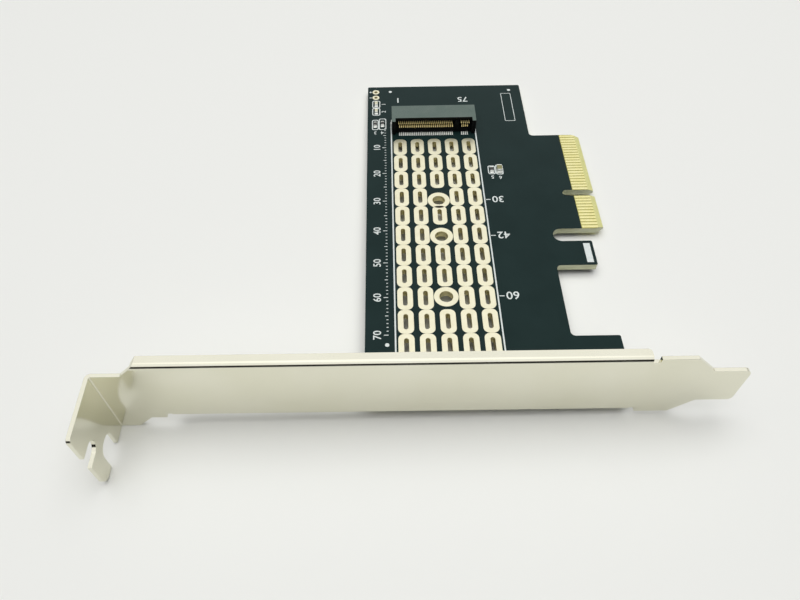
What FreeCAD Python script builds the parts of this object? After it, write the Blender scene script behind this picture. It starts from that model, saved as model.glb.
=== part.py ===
import FreeCAD, Part
import math
import os

# Passive adapter card: a bare circuit board that carries one M-key drive on a x4 card edge, with a folded
# full-height bracket. Millimetres.
# Frame: the origin is where the centre line of the key notch meets the line of the tongue's tip, on the
# component face. +X is the way the card edge goes in, +Y runs along the card away from the bracket, and +Z
# leaves the component face.

Vector = FreeCAD.Vector

# Board outline. Lengths along Y are counted from the middle of the key notch.
BOARD_THICKNESS = 1.57
BOARD_WIDTH = 42.9
TONGUE_REACH = 12.95
FAR_EDGE = 44.6
OUTER_CORNER = 0.4
INNER_CORNER = 1.0
KEY_WIDTH = 2.0
KEY_DEPTH = 7.75
HOOK_GAP = 3.9
HOOK_GAP_DEPTH = 12.27
HOOK_LENGTH = 7.4
HOOK_SETBACK = 3.65
RECESS_LENGTH = 19.3
LOBE_SETBACK = 2.75
TIP_CHAMFER_LENGTH = 2.0
TIP_CHAMFER_WIDTH = 0.7
BEVEL_LENGTH = 1.3
BEVEL_DEPTH = 0.45

# Card-edge contacts, the same on both faces
FINGER_PITCH = 1.0
FINGER_WIDTH = 0.7
FINGER_ROOT = 5.1
FINGER_FROM_KEY = 1.5
FINGER_MARGIN = 0.6
NEAR_FINGERS = 11
FAR_FINGERS = 21
PLATING = 0.05

# Drive: the lamps' strip of board left of its socket, the last screw hole from the bracket, and the lengths
# from each screw hole to the drive's inner end
LAMP_STRIP_WIDTH = 6.55
LAST_HOLE_TO_BRACKET = 7.1
DRIVE_LENGTHS = (30, 42, 60, 80)
DRIVE_HOLE_RADIUS = 1.5
DRIVE_PAD_RADIUS = 2.7

# Heat pads under the drive: a slotted pad at each place of a grid
PAD_COLUMNS = 5
PAD_COLUMN_PITCH = 4.48
PAD_ROW_PITCH = 6.3
PAD_FIRST_ROW = 9.9
PAD_WIDTH = 3.4
PAD_END_CUT = 0.9
SLOT_WIDTH = 1.0
SLOT_LENGTH = 4.0

# Drive socket. Lengths along Y are counted from the drive's inner end. Its width follows the contacts, and its
# height the drive.
ROOM_OVER_DRIVE = 0.4
SOCKET_BACK = 1.9
SOCKET_STANDOFF = 0.2
COVER_THICKNESS = 0.9
COVER_FRONT = 3.3
ARM_FRONT = 4.8
ARM_WIDTH = 0.95
JAW_FRONT = 4.0
JAW_BACK = 1.4
JAW_TOP = 1.45
CHEEK_WIDTH = 0.7
CHEEK_TOP = 2.0
ROW_TO_CHEEK = 0.04
STOP_GAP = 0.1
CONTACT_SLIT = 0.25
KEY_RIB_WIDTH = 1.2

FOOT_SHEET = 0.2
FOOT_INSET = 0.2
FOOT_FROM = 1.0
FOOT_LENGTH = 2.0

# Socket contacts. Each row has a long group, some places keyed out, and a short group.
CONTACT_PITCH = 0.5
CONTACT_WIDTH = 0.22
CONTACT_THICKNESS = 0.12
LONG_GROUP_COUNT = 29
KEYED_OUT_COUNT = 4
UPPER_SHORT_COUNT = 5
LOWER_SHORT_COUNT = 4
DRIVE_UNDERSIDE = 2.1
DRIVE_THICKNESS = 0.8
TAIL_LENGTH = 1.0
UPPER_BEND_BEHIND_COVER = 1.6
UPPER_TOUCH_BEHIND_JAW = 0.2
UPPER_LIP_BEHIND_ARM = 0.35
LOWER_TOUCH_BEHIND_JAW = 0.5
LOWER_LIP_BEHIND_JAW = 0.1

# Two-pin header, not fitted: its plated holes
HEADER_FROM_LEFT = 2.25
HEADER_FIRST_Y = 39.66
HEADER_PIN_COUNT = 2
HEADER_PITCH = 2.54
HEADER_HOLE_WIDTH = 0.9
HEADER_PAD_WIDTH = 1.94

# Chip parts: name, x, y, width, length, height. The first group is counted from the board's left edge and the
# header's first hole, and the second from the drive's centre line and the key notch.
LEFT_CHIPS = (
    ("indicator_led_far", 2.35, -3.06, 0.8, 1.6, 0.6),
    ("indicator_led_near", 2.35, -6.36, 0.8, 1.6, 0.6),
    ("led_resistor_outer", 2.1, -12.06, 0.8, 1.6, 0.45),
    ("led_resistor_inner", 4.05, -11.81, 0.8, 1.6, 0.45),
)
DRIVE_CHIPS = (
    ("bias_resistor", 14.0, 8.8, 0.8, 1.6, 0.45),
    ("filter_capacitor", 15.95, 8.9, 1.25, 2.0, 0.85),
)
CHIP_CAP = 0.25
CHIP_CAP_RISE = 0.03

# Bracket: one folded sheet. Its front face is this far from the key notch.
KEY_TO_BRACKET = 59.0
SHEET = 0.8
BEND_RADIUS = 1.1
PLATE_TOP = 15.68
PLATE_WIDTH = 18.42
NECK_SHIFT = 3.17
NECK_TOP_FROM_TAB = 5.57
NECK_BOTTOM_FROM_TAB = 3.77
TONGUE_TIP_X = 14.4
TONGUE_START_X = 7.55
TONGUE_WIDTH = 10.19
TONGUE_TOP_CORNER = 1.4
TONGUE_BOTTOM_CORNER = 1.0
FLANGE_DEPTH = 2.4
FLANGE_RIGHT_X = -4.35
FLANGE_END_CUT = 1.2
FLANGE_CORNER = 0.8
RELIEF_WIDTH = 1.3
LOWER_FLANGE_FROM_TAB = 11.37
TAB_INNER_X = -104.82
TAB_DEPTH = 12.7
TAB_TOP_CORNER = 1.0
TAB_BOTTOM_CORNER = 2.3
TAB_SLOT_Z = 3.9
TAB_SLOT_WIDTH = 3.6
TAB_SLOT_FROM = 8.3
TAB_NOTCH_FROM = 3.8
TAB_NOTCH_WIDTH = 5.0
TAB_NOTCH_TOP = 0.0
TAB_NOTCH_CORNER = 2.3

# Bracket screws and the ears that take them
SCREW_FROM_LEFT = 3.6
SCREW_FROM_LOBE = 5.0
SCREW_FROM_NEAR_EDGE = 3.7
SCREW_RADIUS = 1.45
SCREW_HEAD_RADIUS = 2.75
SCREW_HEAD_HEIGHT = 1.9
SCREW_HEAD_BEVEL = 0.7
SCREW_CLEARANCE = 0.25
THREAD_CLEARANCE = 0.05
SCREW_PROTRUSION = 1.6
EAR_RADIUS = 3.2
EDGE_TO_FLANGE = 0.2

# Places that follow from the sizes above
SOLDER_FACE = -BOARD_THICKNESS
BOARD_EDGE = -TONGUE_REACH
BOARD_LEFT = BOARD_EDGE - BOARD_WIDTH
BRACKET_FRONT = -KEY_TO_BRACKET
BRACKET_BACK = BRACKET_FRONT + SHEET
NECK_TOP_X = TAB_INNER_X + NECK_TOP_FROM_TAB
NECK_BOTTOM_X = TAB_INNER_X + NECK_BOTTOM_FROM_TAB
LOWER_FLANGE_LEFT_X = TAB_INNER_X + LOWER_FLANGE_FROM_TAB
NEAR_EDGE = BRACKET_FRONT + FLANGE_DEPTH + EDGE_TO_FLANGE
TONGUE_NEAR = -(FINGER_FROM_KEY + (NEAR_FINGERS - 1) * FINGER_PITCH + FINGER_MARGIN)
TONGUE_FAR = FINGER_FROM_KEY + (FAR_FINGERS - 1) * FINGER_PITCH + FINGER_MARGIN
HOOK_FAR = TONGUE_NEAR - HOOK_GAP
HOOK_NEAR = HOOK_FAR - HOOK_LENGTH
LOBE_FAR = HOOK_NEAR - RECESS_LENGTH
SCREW_XS = (BOARD_LEFT + SCREW_FROM_LEFT, -LOBE_SETBACK - SCREW_FROM_LOBE)
SCREW_Y = NEAR_EDGE + SCREW_FROM_NEAR_EDGE
SHEET_INNER_RADIUS = BEND_RADIUS - SHEET
UPPER_ROW_START = -(LONG_GROUP_COUNT + KEYED_OUT_COUNT + UPPER_SHORT_COUNT - 1) / 2 * CONTACT_PITCH
LOWER_ROW_START = -(LONG_GROUP_COUNT + KEYED_OUT_COUNT + LOWER_SHORT_COUNT - 1) / 2 * CONTACT_PITCH
KEYED_OUT_MIDDLE = (LONG_GROUP_COUNT + (KEYED_OUT_COUNT - 1) / 2) * CONTACT_PITCH
KEY_RIB_X = (UPPER_ROW_START + LOWER_ROW_START) / 2 + KEYED_OUT_MIDDLE
CHEEK_INNER = -UPPER_ROW_START + CONTACT_WIDTH / 2 + ROW_TO_CHEEK
SOCKET_INNER = CHEEK_INNER + CHEEK_WIDTH
SOCKET_HALF_WIDTH = SOCKET_INNER + ARM_WIDTH
SOCKET_HEIGHT = DRIVE_UNDERSIDE + DRIVE_THICKNESS + ROOM_OVER_DRIVE + COVER_THICKNESS
DRIVE_X = BOARD_LEFT + LAMP_STRIP_WIDTH + SOCKET_HALF_WIDTH
DRIVE_END_Y = BRACKET_FRONT + LAST_HOLE_TO_BRACKET + DRIVE_LENGTHS[-1]
CUT = 1.0


def to_xy(u, v, w):
    return Vector(u, v, w)


def to_xz(u, v, w):
    return Vector(u, w, v)


def to_yz(u, v, w):
    return Vector(w, u, v)


def rounded_wire(corners, place, level):
    """Closed wire through (u, v, radius) corners. A corner with a radius becomes a tangent arc."""
    arcs = []
    count = len(corners)
    for index, (u, v, radius) in enumerate(corners):
        here = place(u, v, level)
        if radius == 0:
            arcs.append((here, here, here))
            continue
        before = place(*corners[index - 1][:2], level) - here
        after = place(*corners[(index + 1) % count][:2], level) - here
        before.normalize()
        after.normalize()
        half_angle = before.getAngle(after) / 2
        setback = radius / math.tan(half_angle)
        bisector = before + after
        bisector.normalize()
        middle = here + bisector * (radius / math.sin(half_angle) - radius)
        arcs.append((here + before * setback, middle, here + after * setback))
    edges = []
    for index, (start, middle, end) in enumerate(arcs):
        if start.distanceToPoint(end) > 1e-6:
            edges.append(Part.Arc(start, middle, end).toShape())
        following = arcs[(index + 1) % count][0]
        if end.distanceToPoint(following) > 1e-6:
            edges.append(Part.makeLine(end, following))
    return Part.Wire(edges)


def prism(corners, place, start, end):
    """Solid with a rounded outline, from one level to another along the outline's normal."""
    face = Part.Face(rounded_wire(corners, place, start))
    return face.extrude(place(0, 0, end) - place(0, 0, start))


def spun(corners, x, y):
    """Solid of revolution about the vertical through (x, y). The corners are (radius, z, rounding)."""
    section = [(x + radius, z, rounding) for radius, z, rounding in corners]
    face = Part.Face(rounded_wire(section, to_xz, y))
    return face.revolve(Vector(x, y, 0), Vector(0, 0, 1), 360)


def rectangle(u, v, width, length, corner=0):
    """Corners of a rectangle centred on (u, v)."""
    across = width / 2
    along = length / 2
    return [
        (u - across, v - along, corner),
        (u + across, v - along, corner),
        (u + across, v + along, corner),
        (u - across, v + along, corner),
    ]


def cut_rectangle(u, v, width, length, cut):
    """Corners of a rectangle centred on (u, v) whose corners are cut at 45 degrees."""
    across = width / 2
    along = length / 2
    return [
        (u - across + cut, v - along, 0),
        (u + across - cut, v - along, 0),
        (u + across, v - along + cut, 0),
        (u + across, v + along - cut, 0),
        (u + across - cut, v + along, 0),
        (u - across + cut, v + along, 0),
        (u - across, v + along - cut, 0),
        (u - across, v - along + cut, 0),
    ]


def eight_sided(u, v, width):
    """Corners of a regular octagon of this width across its flats, for a small round that needs few faces."""
    return cut_rectangle(u, v, width, width, width * (1 - math.sqrt(0.5)))


def strip(points, thickness):
    """Corners of a bent strip of even thickness along a line of (u, v) points."""
    left = []
    right = []
    for index, (u, v) in enumerate(points):
        before = points[max(index - 1, 0)]
        after = points[min(index + 1, len(points) - 1)]
        turns = []
        for start, end in ((before, (u, v)), ((u, v), after)):
            length = math.dist(start, end)
            if length > 0:
                turns.append((-(end[1] - start[1]) / length, (end[0] - start[0]) / length))
        across = sum(turn[0] for turn in turns) / len(turns)
        along = sum(turn[1] for turn in turns) / len(turns)
        scale = thickness / 2 / (across**2 + along**2)
        left.append((u + across * scale, v + along * scale, 0))
        right.append((u - across * scale, v - along * scale, 0))
    return left + right[::-1]


def cylinder(x, y, radius, bottom, top):
    return Part.makeCylinder(radius, top - bottom, Vector(x, y, bottom))


def fused(shapes):
    """One solid from shapes that meet, with the seams between flat faces removed."""
    return shapes[0].multiFuse(shapes[1:]).removeSplitter()


def save(name, shapes):
    """Write a sub-part: one solid, or a group of like solids."""
    shape = Part.makeCompound(shapes) if isinstance(shapes, list) else shapes
    shape.exportStep(os.path.join("parts", name + ".step"))


def drive_hole_y(length):
    return DRIVE_END_Y - length


def heat_pad_places():
    """Centres of the heat pads by column. A drive hole takes the place of a pad in the middle column."""
    first_y = DRIVE_END_Y - PAD_FIRST_ROW
    rows = int((first_y + PAD_ROW_PITCH / 2 - NEAR_EDGE) / PAD_ROW_PITCH)
    reach = DRIVE_PAD_RADIUS + SLOT_LENGTH / 2
    holes = [drive_hole_y(length) for length in DRIVE_LENGTHS]
    columns = []
    for column in range(PAD_COLUMNS):
        offset = column - (PAD_COLUMNS - 1) / 2
        ys = [first_y - row * PAD_ROW_PITCH for row in range(rows)]
        if offset == 0:
            ys = [y for y in ys if all(abs(y - hole) > reach for hole in holes)]
        columns.append((DRIVE_X + offset * PAD_COLUMN_PITCH, ys))
    return columns


def header_places():
    x = BOARD_LEFT + HEADER_FROM_LEFT
    return [(x, HEADER_FIRST_Y + pin * HEADER_PITCH) for pin in range(HEADER_PIN_COUNT)]


def board_blank():
    corners = [
        (BOARD_LEFT, FAR_EDGE, OUTER_CORNER),
        (BOARD_LEFT, NEAR_EDGE, OUTER_CORNER),
        (-LOBE_SETBACK, NEAR_EDGE, OUTER_CORNER),
        (-LOBE_SETBACK, LOBE_FAR, OUTER_CORNER),
        (BOARD_EDGE, LOBE_FAR, INNER_CORNER),
        (BOARD_EDGE, HOOK_NEAR, INNER_CORNER),
        (-HOOK_SETBACK, HOOK_NEAR, OUTER_CORNER),
        (-HOOK_SETBACK, HOOK_FAR, OUTER_CORNER),
        (-HOOK_GAP_DEPTH, HOOK_FAR, HOOK_GAP / 2),
        (-HOOK_GAP_DEPTH, TONGUE_NEAR, HOOK_GAP / 2),
        (-TIP_CHAMFER_LENGTH, TONGUE_NEAR, 0),
        (0, TONGUE_NEAR + TIP_CHAMFER_WIDTH, 0),
        (0, -KEY_WIDTH / 2, 0),
        (-KEY_DEPTH, -KEY_WIDTH / 2, KEY_WIDTH / 2),
        (-KEY_DEPTH, KEY_WIDTH / 2, KEY_WIDTH / 2),
        (0, KEY_WIDTH / 2, 0),
        (0, TONGUE_FAR - TIP_CHAMFER_WIDTH, 0),
        (-TIP_CHAMFER_LENGTH, TONGUE_FAR, 0),
        (BOARD_EDGE, TONGUE_FAR, INNER_CORNER),
        (BOARD_EDGE, FAR_EDGE, OUTER_CORNER),
    ]
    return prism(corners, to_xy, SOLDER_FACE, 0)


def tip_bevels():
    """Two wedges that taper the tongue's tip on both faces."""
    wedges = []
    for face, away in ((0, 1), (SOLDER_FACE, -1)):
        corners = [
            (-BEVEL_LENGTH, face, 0),
            (BEVEL_LENGTH, face - away * 2 * BEVEL_DEPTH, 0),
            (BEVEL_LENGTH, face + away * CUT, 0),
            (-BEVEL_LENGTH, face + away * CUT, 0),
        ]
        wedges.append(prism(corners, to_xz, TONGUE_NEAR - CUT, TONGUE_FAR + CUT))
    return wedges


def board_openings():
    """Every hole and slot through the board."""
    bottom = SOLDER_FACE - CUT
    holes = [(DRIVE_X, drive_hole_y(length), DRIVE_HOLE_RADIUS) for length in DRIVE_LENGTHS]
    holes += [(x, SCREW_Y, SCREW_RADIUS + SCREW_CLEARANCE) for x in SCREW_XS]
    tools = [cylinder(x, y, radius, bottom, CUT) for x, y, radius in holes]
    outlines = [eight_sided(x, y, HEADER_HOLE_WIDTH + 2 * PLATING) for x, y in header_places()]
    for x, ys in heat_pad_places():
        outlines += [cut_rectangle(x, y, SLOT_WIDTH, SLOT_LENGTH, SLOT_WIDTH / 2) for y in ys]
    return tools + [prism(outline, to_xy, bottom, CUT) for outline in outlines]


def circuit_board():
    return board_blank().cut(tip_bevels() + board_openings())


def edge_contacts(bottom):
    """The gold fingers of one face."""
    near = [-FINGER_FROM_KEY - place * FINGER_PITCH for place in range(NEAR_FINGERS)]
    far = [FINGER_FROM_KEY + place * FINGER_PITCH for place in range(FAR_FINGERS)]
    length = FINGER_ROOT - BEVEL_LENGTH
    middle = -(FINGER_ROOT + BEVEL_LENGTH) / 2
    outlines = [rectangle(middle, y, length, FINGER_WIDTH) for y in near + far]
    return [prism(outline, to_xy, bottom, bottom + PLATING) for outline in outlines]


def ring(x, y, inner, outer, bottom, top):
    return cylinder(x, y, outer, bottom, top).cut(cylinder(x, y, inner, bottom - CUT, top + CUT))


def drive_hole_pads(length):
    """The copper rings round a drive hole, one on each face."""
    y = drive_hole_y(length)
    faces = ((0, PLATING), (SOLDER_FACE - PLATING, SOLDER_FACE))
    return [ring(DRIVE_X, y, DRIVE_HOLE_RADIUS, DRIVE_PAD_RADIUS, bottom, top) for bottom, top in faces]


def header_eyelet(x, y):
    """The copper of a small plated hole, with eight sides in place of a round."""
    pad = eight_sided(x, y, HEADER_PAD_WIDTH)
    sleeve = eight_sided(x, y, HEADER_HOLE_WIDTH + 2 * PLATING)
    hole = eight_sided(x, y, HEADER_HOLE_WIDTH)
    copper = fused([
        prism(pad, to_xy, 0, PLATING),
        prism(sleeve, to_xy, SOLDER_FACE, 0),
        prism(pad, to_xy, SOLDER_FACE - PLATING, SOLDER_FACE),
    ])
    return copper.cut(prism(hole, to_xy, SOLDER_FACE - CUT, CUT))


def heat_pad(x, y):
    """One slotted pad, as long as the rows' pitch so that it meets the next. Its ends are cut back."""
    pad = prism(cut_rectangle(x, y, PAD_WIDTH, PAD_ROW_PITCH, PAD_END_CUT), to_xy, 0, PLATING)
    slot = cut_rectangle(x, y, SLOT_WIDTH, SLOT_LENGTH, SLOT_WIDTH / 2)
    return pad.cut(prism(slot, to_xy, -CUT, CUT))


def heat_pad_columns():
    """The heat pads, joined end to end, with room for the rings of the drive holes and the screws' heads."""
    rooms = [cylinder(DRIVE_X, drive_hole_y(length), DRIVE_PAD_RADIUS, -CUT, CUT) for length in DRIVE_LENGTHS]
    rooms += [cylinder(x, SCREW_Y, SCREW_HEAD_RADIUS + SCREW_CLEARANCE, -CUT, CUT) for x in SCREW_XS]
    columns = []
    for x, ys in heat_pad_places():
        columns += fused([heat_pad(x, y) for y in ys]).cut(rooms).Solids
    return columns


def socket_y(ahead):
    """Y of a place this far ahead of the drive's inner end, towards the bracket."""
    return DRIVE_END_Y - ahead


def socket_bar(corners, from_x, to_x):
    """Socket section of (ahead, z) corners, carried along X between two places on the socket."""
    section = [(socket_y(ahead), z, 0) for ahead, z in corners]
    return prism(section, to_yz, DRIVE_X + from_x, DRIVE_X + to_x)


def socket_block(back, front, bottom, top, from_x, to_x):
    corners = [(-back, bottom), (-back, top), (front, top), (front, bottom)]
    return socket_bar(corners, from_x, to_x)


def drive_socket_housing():
    cover_bottom = SOCKET_HEIGHT - COVER_THICKNESS
    slit_bottom = cover_bottom - CONTACT_SLIT
    inner = SOCKET_INNER
    floor = SOCKET_STANDOFF
    spine = [
        (-SOCKET_BACK, floor),
        (-SOCKET_BACK, slit_bottom),
        (-STOP_GAP, slit_bottom),
        (-STOP_GAP, JAW_TOP),
        (JAW_BACK - STOP_GAP - CONTACT_SLIT, JAW_TOP),
        (JAW_BACK - STOP_GAP - CONTACT_SLIT, floor),
    ]
    pieces = [
        socket_block(SOCKET_BACK, COVER_FRONT, cover_bottom, SOCKET_HEIGHT, -inner, inner),
        socket_bar(spine, -inner, inner),
        socket_block(-JAW_BACK, JAW_FRONT, floor, JAW_TOP, -inner, inner),
    ]
    for side in (-1, 1):
        arm = sorted((side * inner, side * SOCKET_HALF_WIDTH))
        cheek = sorted((side * CHEEK_INNER, side * inner))
        pieces.append(socket_block(SOCKET_BACK, ARM_FRONT, floor, SOCKET_HEIGHT, *arm))
        pieces.append(socket_block(SOCKET_BACK, JAW_FRONT, floor, CHEEK_TOP, *cheek))
    rib = (KEY_RIB_X - KEY_RIB_WIDTH / 2, KEY_RIB_X + KEY_RIB_WIDTH / 2)
    pieces.append(socket_block(SOCKET_BACK, JAW_FRONT, floor, cover_bottom, *rib))
    return fused(pieces)


def contact_row(path, row_start, short_count):
    """One row of socket contacts: the long group, the keyed-out places, then the short group."""
    section = strip([(socket_y(ahead), z) for ahead, z in path], CONTACT_THICKNESS)
    short_start = LONG_GROUP_COUNT + KEYED_OUT_COUNT
    places = [*range(LONG_GROUP_COUNT), *range(short_start, short_start + short_count)]
    contacts = []
    for place in places:
        x = DRIVE_X + row_start + place * CONTACT_PITCH
        contacts.append(prism(section, to_yz, x - CONTACT_WIDTH / 2, x + CONTACT_WIDTH / 2))
    return contacts


def socket_contacts_upper():
    half = CONTACT_THICKNESS / 2
    cover_bottom = SOCKET_HEIGHT - COVER_THICKNESS
    beam_z = cover_bottom - CONTACT_SLIT / 2
    riser = -SOCKET_BACK - half
    touch_z = DRIVE_UNDERSIDE + DRIVE_THICKNESS
    path = [
        (riser - TAIL_LENGTH, half),
        (riser, half),
        (riser, beam_z),
        (COVER_FRONT - UPPER_BEND_BEHIND_COVER, beam_z),
        (JAW_FRONT - UPPER_TOUCH_BEHIND_JAW, touch_z),
        (ARM_FRONT - UPPER_LIP_BEHIND_ARM, beam_z),
    ]
    return contact_row(path, UPPER_ROW_START, UPPER_SHORT_COUNT)


def socket_contacts_lower():
    half = CONTACT_THICKNESS / 2
    riser = JAW_BACK - CONTACT_SLIT / 2 - STOP_GAP / 2
    path = [
        (JAW_FRONT + TAIL_LENGTH, half),
        (riser, half),
        (riser, JAW_TOP + CONTACT_THICKNESS),
        (JAW_FRONT - LOWER_TOUCH_BEHIND_JAW, DRIVE_UNDERSIDE - half),
        (JAW_FRONT - LOWER_LIP_BEHIND_JAW, JAW_TOP + CONTACT_THICKNESS),
    ]
    return contact_row(path, LOWER_ROW_START, LOWER_SHORT_COUNT)


def socket_hold_downs():
    """Metal feet that solder the socket's ends to the board: a foot under the end and a leg up its side."""
    feet = []
    for side in (-1, 1):
        inner = side * (CHEEK_INNER + FOOT_INSET)
        outer = side * (SOCKET_HALF_WIDTH + FOOT_SHEET)
        wall = side * SOCKET_HALF_WIDTH
        foot = socket_block(-FOOT_FROM, FOOT_FROM + FOOT_LENGTH, 0, SOCKET_STANDOFF, *sorted((inner, outer)))
        leg = socket_block(-FOOT_FROM, FOOT_FROM + FOOT_LENGTH, 0, CHEEK_TOP, *sorted((wall, outer)))
        feet.append(fused([foot, leg]))
    return feet


def chip(x, y, width, length, height):
    """A chip part: its body between two end caps that stand a little proud."""
    body = Part.makeBox(width, length, height, Vector(x - width / 2, y - length / 2, 0))
    rise = CHIP_CAP_RISE
    caps = []
    for side in (-1, 1):
        start = y + side * length / 2 - (CHIP_CAP if side > 0 else 0)
        corner = Vector(x - width / 2 - rise, start, 0)
        caps.append(Part.makeBox(width + 2 * rise, CHIP_CAP, height + rise, corner))
    return fused([body] + caps)


def bracket_plate():
    """The flat of the bracket with its neck at one end and its tongue at the other."""
    bottom = PLATE_TOP - PLATE_WIDTH
    neck_top = PLATE_TOP - NECK_SHIFT
    neck_bottom = bottom - NECK_SHIFT
    tongue_bottom = bottom + (PLATE_WIDTH - TONGUE_WIDTH) / 2
    tongue_top = tongue_bottom + TONGUE_WIDTH
    shoulder = TONGUE_START_X - (PLATE_WIDTH - TONGUE_WIDTH) / 2
    fold_top = PLATE_TOP - BEND_RADIUS
    fold_bottom = SOLDER_FACE - SHEET + BEND_RADIUS
    relief_right = FLANGE_RIGHT_X + RELIEF_WIDTH
    relief_left = LOWER_FLANGE_LEFT_X - RELIEF_WIDTH
    bend_start = TAB_INNER_X + SHEET_INNER_RADIUS
    corners = [
        (bend_start, neck_bottom, 0),
        (NECK_BOTTOM_X, neck_bottom, 0),
        (NECK_BOTTOM_X + NECK_SHIFT, bottom, 0),
        (relief_left, bottom, 0),
        (relief_left, fold_bottom, 0),
        (relief_right, fold_bottom, 0),
        (relief_right, bottom, 0),
        (shoulder, bottom, 0),
        (TONGUE_START_X, tongue_bottom, 0),
        (TONGUE_TIP_X, tongue_bottom, TONGUE_BOTTOM_CORNER),
        (TONGUE_TIP_X, tongue_top, TONGUE_TOP_CORNER),
        (TONGUE_START_X, tongue_top, 0),
        (shoulder, PLATE_TOP, 0),
        (relief_right, PLATE_TOP, 0),
        (relief_right, fold_top, 0),
        (NECK_TOP_X + NECK_SHIFT - BEND_RADIUS, fold_top, 0),
        (NECK_TOP_X, neck_top, 0),
        (bend_start, neck_top, 0),
    ]
    return prism(corners, to_xz, BRACKET_FRONT, BRACKET_BACK)


def flange(outer, away, left, right):
    """A fold along the plate's edge. outer is the flange's outer face, and away is the side it faces."""
    inner = outer - away * SHEET
    start = outer - away * BEND_RADIUS
    end = BRACKET_FRONT + FLANGE_DEPTH
    section = [
        (BRACKET_FRONT, start, 0),
        (BRACKET_FRONT, outer, BEND_RADIUS),
        (end, outer, 0),
        (end, inner, 0),
        (BRACKET_BACK, inner, SHEET_INNER_RADIUS),
        (BRACKET_BACK, start, 0),
    ]
    plan = [
        (left, BRACKET_FRONT, 0),
        (right, BRACKET_FRONT, 0),
        (right, end, FLANGE_CORNER),
        (left + FLANGE_END_CUT, end, 0),
        (left, end - FLANGE_END_CUT, 0),
    ]
    fold = prism(section, to_yz, left, right)
    return fold.common(prism(plan, to_xy, min(start, outer) - CUT, max(start, outer) + CUT))


def bracket_tab():
    """The bent end that sits on the chassis, with its screw slot and side notch."""
    top = PLATE_TOP - NECK_SHIFT
    bottom = PLATE_TOP - PLATE_WIDTH - NECK_SHIFT
    outer = TAB_INNER_X - SHEET
    end = BRACKET_FRONT - TAB_DEPTH
    bend_start = TAB_INNER_X + SHEET_INNER_RADIUS
    angle = [
        (bend_start, BRACKET_BACK, 0),
        (outer, BRACKET_BACK, BEND_RADIUS),
        (outer, end, 0),
        (TAB_INNER_X, end, 0),
        (TAB_INNER_X, BRACKET_FRONT, SHEET_INNER_RADIUS),
        (bend_start, BRACKET_FRONT, 0),
    ]
    side = [
        (BRACKET_BACK, bottom, 0),
        (BRACKET_BACK, top, 0),
        (end, top, TAB_TOP_CORNER),
        (end, bottom, TAB_BOTTOM_CORNER),
    ]
    slot_start = BRACKET_FRONT - TAB_SLOT_FROM
    half_slot = TAB_SLOT_WIDTH / 2
    slot = [
        (slot_start, TAB_SLOT_Z - half_slot, half_slot),
        (slot_start, TAB_SLOT_Z + half_slot, half_slot),
        (end - CUT, TAB_SLOT_Z + half_slot, 0),
        (end - CUT, TAB_SLOT_Z - half_slot, 0),
    ]
    notch_start = BRACKET_FRONT - TAB_NOTCH_FROM
    notch_end = notch_start - TAB_NOTCH_WIDTH
    notch_corner = min(TAB_NOTCH_CORNER, TAB_NOTCH_WIDTH / 2)
    notch = [
        (notch_start, TAB_NOTCH_TOP, notch_corner),
        (notch_end, TAB_NOTCH_TOP, notch_corner),
        (notch_end, bottom - CUT, 0),
        (notch_start, bottom - CUT, 0),
    ]
    tab = prism(angle, to_xy, bottom, top).common(prism(side, to_yz, outer - CUT, bend_start + CUT))
    cutters = [prism(outline, to_yz, outer - CUT, TAB_INNER_X + CUT) for outline in (slot, notch)]
    return tab.cut(cutters)


def ear(x):
    """Lug of the lower flange under the board, with the hole for a bracket screw."""
    root = BRACKET_FRONT + FLANGE_DEPTH - CUT
    end = SCREW_Y + EAR_RADIUS
    corners = [
        (x - EAR_RADIUS, root, 0),
        (x + EAR_RADIUS, root, 0),
        (x + EAR_RADIUS, end, EAR_RADIUS),
        (x - EAR_RADIUS, end, EAR_RADIUS),
    ]
    lug = prism(corners, to_xy, SOLDER_FACE - SHEET, SOLDER_FACE)
    hole_radius = SCREW_RADIUS + THREAD_CLEARANCE
    return lug.cut(cylinder(x, SCREW_Y, hole_radius, SOLDER_FACE - SHEET - CUT, SOLDER_FACE + CUT))


def bracket():
    upper_left = NECK_TOP_X + NECK_SHIFT - BEND_RADIUS
    upper = flange(PLATE_TOP, 1, upper_left, FLANGE_RIGHT_X)
    lower = flange(SOLDER_FACE - SHEET, -1, LOWER_FLANGE_LEFT_X, FLANGE_RIGHT_X)
    slope = [
        (upper_left, PLATE_TOP - BEND_RADIUS, 0),
        (upper_left + BEND_RADIUS + CUT, PLATE_TOP + CUT, 0),
        (upper_left - CUT, PLATE_TOP + CUT, 0),
    ]
    upper = upper.cut(prism(slope, to_xz, BRACKET_FRONT - CUT, BRACKET_FRONT + FLANGE_DEPTH + CUT))
    ears = [ear(x) for x in SCREW_XS]
    return fused([bracket_plate(), upper, lower, bracket_tab()] + ears)


def bracket_screw(x):
    """Pan-head screw from the component face through the board into an ear."""
    tip = SOLDER_FACE - SHEET - SCREW_PROTRUSION
    section = [
        (0, tip, 0),
        (SCREW_RADIUS, tip, 0),
        (SCREW_RADIUS, 0, 0),
        (SCREW_HEAD_RADIUS, 0, 0),
        (SCREW_HEAD_RADIUS, SCREW_HEAD_HEIGHT - SCREW_HEAD_BEVEL, 0),
        (SCREW_HEAD_RADIUS - SCREW_HEAD_BEVEL, SCREW_HEAD_HEIGHT, 0),
        (0, SCREW_HEAD_HEIGHT, 0),
    ]
    return spun(section, x, SCREW_Y)


os.makedirs("parts", exist_ok=True)

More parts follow.
